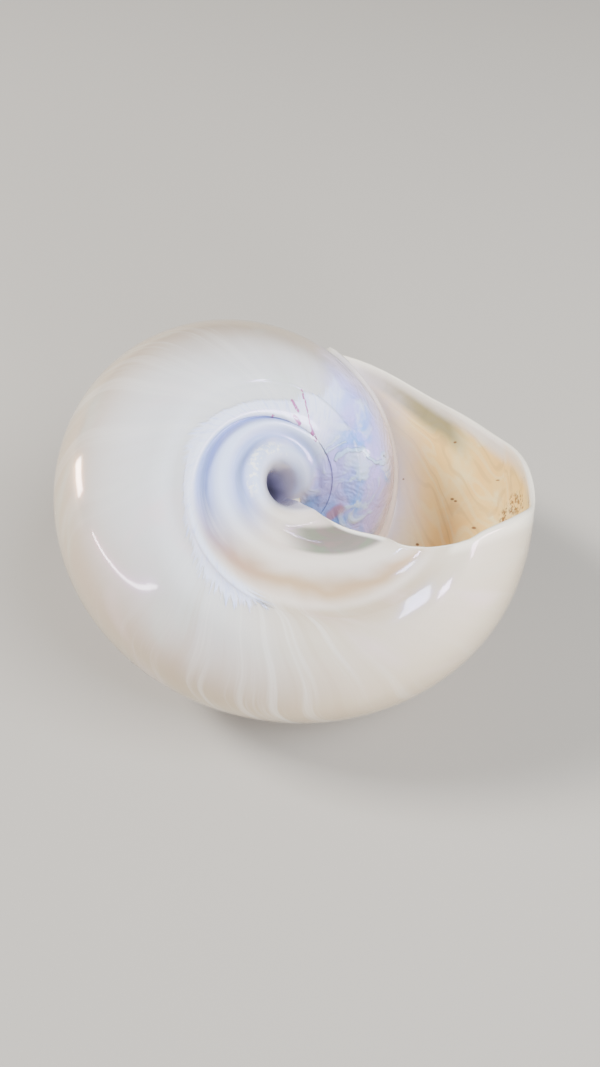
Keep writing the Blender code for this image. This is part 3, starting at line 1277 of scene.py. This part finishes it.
@dataclass(frozen=True)
class Hollow:
    """The hollow beside the pillar: pale at its mouth, purple-grey inside.

    Args:
        pale: its colour at the mouth.
        deep: and inside, lighter: painted light.
        start: section points over which it begins.
        inward: section points over which the painted light comes in.
        grain_height: millimetres.
    """

    pale: Colour = srgb(204, 202, 214)
    deep: Colour = srgb(226, 223, 244)
    start: Span = (17.3, 18.0)
    inward: Span = (18.2, 19.6)
    grain_height: float = 0.03

    def layer(self, nodes: NodeMaker, on: Surface) -> Layer:
        """Builds the finish.

        Args:
            nodes: the material's nodes.
            on: the shell's coordinates.

        Returns:
            What the finish adds.
        """
        grain = nodes.noise(on.place, 900.0, 3.0, 0.6)
        depth = nodes.moved(on.point, grain, 0.9)
        # Deeper in, the colour goes lighter: painted light that lifts the shade in the hollow.
        colour = nodes.mix(nodes.step(depth, *self.inward), self.pale, self.deep)
        share = nodes.times(nodes.step(on.point, *self.start), on.outside)
        return Layer(share, colour, nodes.times(share, nodes.plus(grain, -0.5), self.grain_height))


@dataclass(frozen=True)
class MouthNacre:
    """The lumpy lilac and blue nacre on the older turn's wall in the mouth, with painted glints on its
    ripples, drop and cluster.

    Args:
        lilac: its main colour.
        blue: its blue patches.
        pale: its lumps.
        painted_glint: painted glints on its ripples, drop and shining cluster.
        mauve: its colour next to the gold wall.
        seam: its colour next to the hollow.
        pit: the pit in its drop.
        ripples: raised wavy lines: their ends about the axis in units, and their half width.
        drop: a raised drop: its middle and its radius.
        lined: the finely lined stretch's y, and its soft edge.
        lined_across: its x, and its soft edge.
        cluster: y of the cluster of painted glints, and its soft edge.
        cluster_across: its x, and its soft edge.
        start: turns back from the lip over which it begins.
        shore: section points over which it goes mauve.
        inward: section points over which it takes the colour next to the hollow.
        lump_height: millimetres, as are the next four.
        grain_height: of its fine grain.
        line_height: of its fine lines.
        ripple_height: of its ripples and drop.
        pit_depth: of the drop's pit.
        rough: what it adds to the roughness.
    """

    lilac: Colour = srgb(180, 178, 250)
    blue: Colour = srgb(116, 168, 255)
    pale: Colour = srgb(206, 220, 255)
    painted_glint: Colour = srgb(186, 218, 255)
    mauve: Colour = srgb(208, 196, 230)
    seam: Colour = srgb(204, 202, 222)
    pit: Colour = srgb(90, 110, 120)
    ripples: tuple[Stroke, ...] = (
        (0.110, 0.124, 0.160, 0.150, 0.014),
        (0.160, 0.150, 0.232, 0.206, 0.007),
        (0.172, 0.140, 0.250, 0.184, 0.006),
        (0.222, 0.124, 0.262, 0.156, 0.012),
        (0.262, 0.156, 0.330, 0.164, 0.013),
        (0.330, 0.164, 0.396, 0.118, 0.011),
        (0.396, 0.118, 0.445, 0.122, 0.010),
    )
    drop: Band = (0.458, 0.144, 0.034)
    lined: Band = (-0.03, 0.115, 0.03)
    lined_across: Band = (0.25, 0.38, 0.04)
    cluster: Band = (-0.13, 0.10, 0.05)
    cluster_across: Band = (0.25, 0.42, 0.05)
    start: Span = (-0.77, -0.85)
    shore: Span = (9.7, 8.3)
    inward: Span = (15.6, 17.4)
    lump_height: float = 1.1
    grain_height: float = 0.16
    line_height: float = 0.035
    ripple_height: float = 0.26
    pit_depth: float = 0.25
    rough: float = -0.03

    def layer(self, nodes: NodeMaker, on: Surface) -> Layer:
        """Builds the finish.

        Args:
            nodes: the material's nodes.
            on: the shell's coordinates.

        Returns:
            What the finish adds.
        """
        lump = nodes.noise(on.place, 210.0, 3.0, 0.55, 0.7)
        patch = nodes.noise(on.place, 110.0, 2.0, 0.5, 0.4)
        grain = nodes.noise(on.place, 620.0, 2.0, 0.5, 0.5)
        warped = nodes.warped(on, 16.0, 0.028)
        x, y, radius = self.drop
        pit = nodes.spot(warped, (x, y, radius * 0.16))
        rise = nodes.sum("MAXIMUM", nodes.strokes(warped, self.ripples), nodes.spot(warped, self.drop))
        # Painted highlight: glints on the lumps of one cluster, and along the ripples and drop.
        cluster = nodes.times(
            nodes.step(lump, 0.52, 0.60),
            nodes.band(on.y, *self.cluster),
            nodes.band(on.x, *self.cluster_across),
        )
        shining = nodes.plus(rise, nodes.times(cluster, 0.8))
        colour = nodes.mix(nodes.step(patch, 0.40, 0.62), self.lilac, self.blue)
        colour = nodes.mix(nodes.step(lump, 0.50, 0.68, 0.8), colour, self.pale)
        colour = nodes.mix(nodes.sum("MULTIPLY", shining, 0.8, clamp=True), colour, self.painted_glint)
        colour = nodes.mix(pit, colour, self.pit)
        colour = nodes.mix(nodes.step(nodes.moved(on.point, patch, 1.6), *self.shore), colour, self.mauve)
        colour = nodes.mix(nodes.step(on.point, *self.inward), colour, self.seam)
        front = nodes.moved(on.lag, patch, 0.08)
        share = nodes.times(nodes.step(front, *self.start), nodes.step(on.point, 4.95, 5.05), on.outside)
        waves = nodes.sum("SINE", nodes.times(nodes.plus(warped[1], nodes.times(warped[0], 0.18)), 300.0))
        lined = nodes.times(nodes.band(on.y, *self.lined), nodes.band(on.x, *self.lined_across))
        height = nodes.plus(
            nodes.times(nodes.plus(lump, -0.5), self.lump_height),
            nodes.times(nodes.plus(grain, -0.5), self.grain_height),
            nodes.times(waves, lined, self.line_height),
            nodes.times(rise, self.ripple_height),
            nodes.times(pit, -self.pit_depth),
        )
        clear = nodes.times(nodes.step(on.point, 17.6, 16.0), nodes.step(on.point, 5.2, 6.6))
        return Layer(share, colour, nodes.times(share, clear, height), nodes.times(share, self.rough))


@dataclass(frozen=True)
class GoldWall:
    """The inside of the mouth: gold with curved lines, grey-green under the far lip, and a brown stain. Its
    gold is partly the nacre's own colour and partly painted warm light, and its low end is lifted by painted
    light.

    Args:
        gold: its main colour, partly its own and partly painted warm light.
        deep: its deeper patches.
        light: its lighter ones, and the painted light at its low end.
        line: its curved lines.
        mauve: its colour next to the mouth's nacre.
        green: its colour under the far lip.
        white: the shining strip at that lip.
        stain: the stain and the specks.
        clear: section points over which the curved lines begin.
        low: turns about the axis over which its low end goes lighter: painted light where the lip casts
            shade.
        painted_light_points: and the section points of that painted light.
        far: turns back from the lip over which it goes green.
        far_points: and the section points.
        shine: turns back from the lip over which the strip begins.
        shine_points: the strip's section points, and its soft edge.
        shore: section points over which it goes mauve.
        stained: the stain's ends and half width, on the stain's own coordinates.
        stain_scale: those coordinates over a turn back and over a section point.
        specks: their places about the axis in units, and their radii.
        lump_height: millimetres, as are the next two.
        line_height: of its curved lines.
        stain_depth: of the stain.
    """

    gold: Colour = srgb(255, 219, 136)
    deep: Colour = srgb(255, 211, 122)
    light: Colour = srgb(255, 238, 178)
    line: Colour = srgb(224, 184, 110)
    mauve: Colour = srgb(230, 220, 228)
    green: Colour = srgb(132, 130, 88)
    white: Colour = srgb(240, 233, 218)
    stain: Colour = srgb(116, 74, 34)
    clear: Span = (1.4, 3.2)
    low: Span = (0.0, -0.05)
    painted_light_points: Span = (3.4, 2.6)
    far: Span = (-0.042, -0.024)
    far_points: Span = (4.4, 3.7)
    shine: Span = (-0.016, -0.004)
    shine_points: Band = (4.1, 5.4, 0.3)
    shore: Span = (3.3, 1.7)
    stained: Stroke = (-0.62, 1.16, -0.29, 1.50, 0.085)
    stain_scale: Span = (12.0, 0.22)
    specks: tuple[Band, ...] = (
        (0.850, 0.230, 0.006), (0.848, -0.013, 0.007), (0.857, -0.022, 0.006), (0.897, -0.137, 0.007),
        (0.727, -0.211, 0.008), (0.682, 0.078, 0.005), (0.955, 0.060, 0.004),
    )
    lump_height: float = 0.35
    line_height: float = 0.012
    stain_depth: float = 0.05

    def layer(self, nodes: NodeMaker, on: Surface) -> Layer:
        """Builds the finish.

        Args:
            nodes: the material's nodes.
            on: the shell's coordinates.

        Returns:
            What the finish adds.
        """
        # The gold is partly the nacre's own colour and partly painted warm light.
        cloud = nodes.noise(on.place, 95.0, 3.0, 0.5, 0.9)
        colour = nodes.mix(nodes.step(cloud, 0.36, 0.60), self.deep, self.gold)
        colour = nodes.mix(nodes.step(cloud, 0.54, 0.72, 0.8), colour, self.light)
        swirl = nodes.grown(on, 14.0, 0.7, 2.0, 0.5, 0.8)
        wave = nodes.sum("SINE", nodes.plus(nodes.times(on.lag, 210.0), nodes.times(swirl, 22.0)))
        clear = nodes.step(on.point, *self.clear)
        colour = nodes.mix(nodes.times(nodes.step(wave, 0.72, 1.0, 0.50), clear), colour, self.line)
        colour = nodes.mix(nodes.times(nodes.step(wave, -0.5, -1.0, 0.35), clear), colour, self.light)
        # Painted light: the low end goes lighter, against the shade under the near lip.
        low = nodes.times(nodes.step(on.turn, *self.low), nodes.step(on.point, *self.painted_light_points))
        colour = nodes.mix(nodes.times(low, 0.8), colour, self.light)
        under_lip = nodes.moved(on.lag, swirl, 0.02)
        far = nodes.times(nodes.step(under_lip, *self.far), nodes.step(on.point, *self.far_points))
        colour = nodes.mix(nodes.times(far, 0.85), colour, self.green)
        shine = nodes.times(nodes.step(under_lip, *self.shine), nodes.band(on.point, *self.shine_points))
        colour = nodes.mix(nodes.times(shine, 0.8), colour, self.white)
        colour = nodes.mix(nodes.step(nodes.moved(on.point, cloud, 1.0), *self.shore), colour, self.mauve)
        stain = self.stain_share(nodes, on)
        colour = nodes.mix(nodes.times(stain, 0.85), colour, self.stain)
        for speck in self.specks:
            mark = nodes.times(nodes.spot((on.x, on.y), speck), nodes.step(on.point, 8.0, 7.5))
            colour = nodes.mix(nodes.times(mark, 0.85), colour, self.stain)
        share = nodes.step(on.inside, 0.35, 0.8)
        height = nodes.plus(
            nodes.times(nodes.plus(cloud, -0.5), self.lump_height),
            nodes.times(wave, clear, self.line_height),
            nodes.times(stain, -self.stain_depth),
        )
        return Layer(share, colour, nodes.times(share, height))

    def stain_share(self, nodes: NodeMaker, on: Surface) -> Socket:
        """How much of the broken brown stain shows.

        Args:
            nodes: the material's nodes.
            on: the shell's coordinates.

        Returns:
            Its share.
        """
        by_turn, by_point = self.stain_scale
        track = (nodes.times(on.lag, by_turn), nodes.times(on.point, by_point))
        grain = nodes.noise(on.place, 1300.0, 2.0, 0.6)
        return nodes.times(nodes.segment(track, self.stained), nodes.step(grain, 0.44, 0.62), on.inside)


@dataclass(frozen=True)
class Marks:
    """Small natural marks: magenta streaks on the callus and a red-brown one in the mouth.

    Args:
        magenta: the streaks' colour.
        rust: the other mark's colour.
        streaks: their ends about the axis in units, and their half width.
        turns: turns back from the lip that they cover, and the soft edge.
        scar: the red-brown mark's ends and half width.
        scar_turns: turns back over which it begins.
    """

    magenta: Colour = srgb(164, 48, 134)
    rust: Colour = srgb(186, 116, 92)
    streaks: tuple[Stroke, ...] = (
        (0.066, 0.362, 0.082, 0.315, 0.006),
        (0.082, 0.315, 0.094, 0.262, 0.004),
        (0.094, 0.262, 0.112, 0.215, 0.004),
        (0.112, 0.212, 0.132, 0.186, 0.008),
        (0.026, 0.318, 0.050, 0.284, 0.009),
        (0.034, 0.262, 0.056, 0.240, 0.010),
        (-0.054, 0.257, -0.050, 0.256, 0.006),
    )
    turns: Band = (-0.84, -0.56, 0.01)
    scar: Stroke = (0.226, -0.088, 0.258, -0.066, 0.030)
    scar_turns: Span = (-0.90, -0.93)

    def layer(self, nodes: NodeMaker, on: Surface) -> Layer:
        """Builds the finish.

        Args:
            nodes: the material's nodes.
            on: the shell's coordinates.

        Returns:
            What the finish adds.
        """
        warped = nodes.warped(on, 30.0, 0.008)
        broken = nodes.noise(on.place, 1500.0, 2.0, 0.6)
        red = nodes.times(
            nodes.strokes(warped, self.streaks),
            nodes.band(on.lag, *self.turns),
            nodes.step(broken, 0.34, 0.44),
        )
        scar = nodes.times(nodes.segment(warped, self.scar), nodes.step(on.lag, *self.scar_turns))
        shown = nodes.sum("MAXIMUM", nodes.times(red, 0.85), nodes.times(scar, 0.60))
        return Layer(nodes.times(shown, on.outside), nodes.mix(scar, self.magenta, self.rust))


@dataclass(frozen=True)
class Lip:
    """The lip's thin cream edge.

    Args:
        cream: its colour.
        across: the share of the edge's width that it covers, and its soft edge.
        outer: turns back from the lip over which it starts on the outside.
        outer_points: and the section points where it stops.
    """

    cream: Colour = srgb(242, 234, 218)
    across: Band = (0.04, 0.96, 0.03)
    outer: Span = (-0.016, -0.003)
    outer_points: Span = (13.0, 12.0)

    def layer(self, nodes: NodeMaker, on: Surface) -> Layer:
        """Builds the finish.

        Args:
            nodes: the material's nodes.
            on: the shell's coordinates.

        Returns:
            What the finish adds.
        """
        outer = nodes.times(nodes.step(on.lag, *self.outer), nodes.step(on.point, *self.outer_points))
        edge = nodes.band(on.inside, *self.across)
        return Layer(nodes.sum("MAXIMUM", edge, nodes.times(outer, 0.8)), self.cream)


@dataclass(frozen=True)
class Pearl:
    """The shell's polished mother of pearl, one finish laid over another.

    Args:
        roughness: of the nacre.
        gloss: the polish's weight.
        gloss_roughness: and its roughness.
        film: the iridescent film's thickness, in nanometres.
        film_index: and its index of refraction.
        relief: metres to one unit of the layers' heights.
        layers: the finishes, from the lowest up.
    """

    roughness: float = 0.17
    gloss: float = 0.6
    gloss_roughness: float = 0.05
    film: float = 350.0
    film_index: float = 1.30
    relief: float = 0.001
    layers: tuple = (
        OuterPearl(), Folds(), Callus(), Facet(), Hollow(), MouthNacre(), GoldWall(), Marks(), Lip(),
    )

    def make(self) -> bpy.types.Material:
        """Builds the material.

        Returns:
            The material.
        """
        nodes = NodeMaker("mother_of_pearl")
        on = Surface.read(nodes)
        colour: Socket | Colour = (1.0, 1.0, 1.0)
        height: Level = 0.0
        rough: Level = self.roughness
        for finish in self.layers:
            layer = finish.layer(nodes, on)
            colour = nodes.mix(layer.share, colour, layer.colour)
            height = nodes.plus(height, layer.height)
            rough = nodes.plus(rough, layer.rough)
        shader = nodes.shader
        nodes.feed(shader.inputs["Base Color"], colour)
        nodes.feed(shader.inputs["Roughness"], rough)
        bump = nodes.node("Bump")
        bump.inputs["Strength"].default_value = 1.0
        bump.inputs["Distance"].default_value = self.relief
        nodes.feed(bump.inputs["Height"], height)
        nodes.feed(shader.inputs["Normal"], bump.outputs[0])
        shader.inputs["Coat Weight"].default_value = self.gloss
        shader.inputs["Coat Roughness"].default_value = self.gloss_roughness
        shader.inputs["Thin Film Thickness"].default_value = self.film
        shader.inputs["Thin Film IOR"].default_value = self.film_index
        return nodes.material


@dataclass(frozen=True)
class Lamp:
    """A soft rectangular light that faces the shell.

    Args:
        name: its name.
        place: where it stands, in metres.
        size: its width and height.
        power: watts.
        tint: its colour.
        mirrored: whether the polish shows its reflection.
    """

    name: str
    place: tuple[float, float, float]
    size: Span
    power: float
    tint: Colour = (1.0, 1.0, 1.0)
    mirrored: bool = True

    def add(self, target: Vector) -> bpy.types.Object:
        """Adds the light, facing the target.

        Args:
            target: the place that it faces.

        Returns:
            The light's object.
        """
        data = bpy.data.lights.new(self.name, "AREA")
        data.shape = "RECTANGLE"
        data.size, data.size_y = self.size
        data.energy = self.power
        data.color = self.tint
        lamp = bpy.data.objects.new(self.name, data)
        lamp.location = self.place
        lamp.rotation_euler = (target - Vector(self.place)).to_track_quat("-Z", "Y").to_euler()
        lamp.visible_glossy = self.mirrored
        bpy.context.scene.collection.objects.link(lamp)
        return lamp


@dataclass
class Studio:
    """The floor, the light and the camera.

    Args:
        floor_size: metres across.
        lens_pixels: the photograph's focal length in its own pixels.
        photo_width: and its width.
        sensor: the camera's sensor width, in millimetres.
        nearest: how near it sees, in metres.
        distance: units from the camera to the shell's tip along the view.
        offset: how far the shell's axis stands off the view's middle, in units.
        floor_colour: the floor's colour.
        floor_roughness: and its roughness.
        lamps: the lights.
        lit_height: the height of the place that they face, in metres.
        sky: the colour of the light all round.
        sky_strength: and its strength.
    """

    floor_size: float = 3.0
    lens_pixels: float = 820.0
    photo_width: float = 600.0
    sensor: float = 36.0
    nearest: float = 0.001
    distance: float = 3.8407
    offset: Span = (-0.3042, 0.1675)
    floor_colour: Colour = srgb(166, 161, 154)
    floor_roughness: float = 0.85
    lamps: tuple[Lamp, ...] = (
        Lamp("key_light", (-0.52, 0.14, 0.64), (0.20, 0.20), 11.8, (1.0, 0.985, 0.96), mirrored=False),
        Lamp("fill_light", (0.36, -0.16, 0.60), (0.34, 0.34), 6.4, (0.92, 0.96, 1.0), mirrored=False),
        Lamp("left_window", (-0.68, 0.14, 0.06), (0.17, 0.07), 2.6),
        Lamp("left_strip", (-0.60, -0.34, 0.060), (0.42, 0.018), 1.6),
        Lamp("near_window", (0.24, -0.62, 0.20), (0.16, 0.15), 3.2),
        Lamp("side_window", (0.44, -0.52, 0.10), (0.10, 0.11), 2.0),
        Lamp("right_window", (0.68, -0.14, 0.12), (0.34, 0.16), 6.0, (0.90, 0.95, 1.0)),
    )
    lit_height: float = 0.03
    sky: Colour = (0.95, 0.97, 1.0)
    sky_strength: float = 0.18

    def floor(self) -> bpy.types.Object:
        """A plain pale floor.

        Returns:
            The floor's object.
        """
        bm = bmesh.new()
        bmesh.ops.create_grid(bm, x_segments=1, y_segments=1, size=self.floor_size / 2)
        mesh = bpy.data.meshes.new("floor")
        bm.to_mesh(mesh)
        bm.free()
        nodes = NodeMaker("pale_floor")
        nodes.shader.inputs["Base Color"].default_value = (*self.floor_colour, 1.0)
        nodes.shader.inputs["Roughness"].default_value = self.floor_roughness
        mesh.materials.append(nodes.material)
        floor = bpy.data.objects.new("floor", mesh)
        bpy.context.scene.collection.objects.link(floor)
        return floor

    def camera(self, lie: Lie, unit: float, under: Vector) -> bpy.types.Object:
        """The camera at the photograph's viewing angle.

        Args:
            lie: how the shell lies.
            unit: metres per unit.
            under: the move that put the shell on the floor.

        Returns:
            The camera's object.
        """
        data = bpy.data.cameras.new("camera")
        data.sensor_fit = "HORIZONTAL"
        data.sensor_width = self.sensor
        data.lens = self.lens_pixels / self.photo_width * data.sensor_width
        data.clip_start = self.nearest
        camera = bpy.data.objects.new("camera", data)
        bpy.context.scene.collection.objects.link(camera)
        stand = Vector((-self.offset[0], -self.offset[1], self.distance)) * unit
        laid = lie.laid()
        camera.matrix_world = Matrix.Translation(laid @ stand + under) @ laid
        bpy.context.scene.camera = camera
        return camera

    def light(self) -> None:
        """Plain soft studio light."""
        for lamp in self.lamps:
            lamp.add(Vector((0, 0, self.lit_height)))
        world = bpy.data.worlds.new("studio")
        world.use_nodes = True
        background = world.node_tree.nodes["Background"]
        background.inputs["Color"].default_value = (*self.sky, 1.0)
        background.inputs["Strength"].default_value = self.sky_strength
        bpy.context.scene.world = world


def main() -> None:
    """Builds the shell, its finish and the studio."""
    logging.basicConfig(level=logging.INFO)
    form = TurbanShell()
    shell, under = form.build()
    shell.data.materials.append(Pearl().make())
    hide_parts(NODE)
    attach(shell, "root")
    log.info("polished_shell: %d faces", len(shell.data.polygons))
    studio = Studio()
    studio.floor()
    studio.camera(form.lie, form.growth.unit, under)
    studio.light()
    log.info("studio: floor, camera and light")


if __name__ == "__main__":
    main()
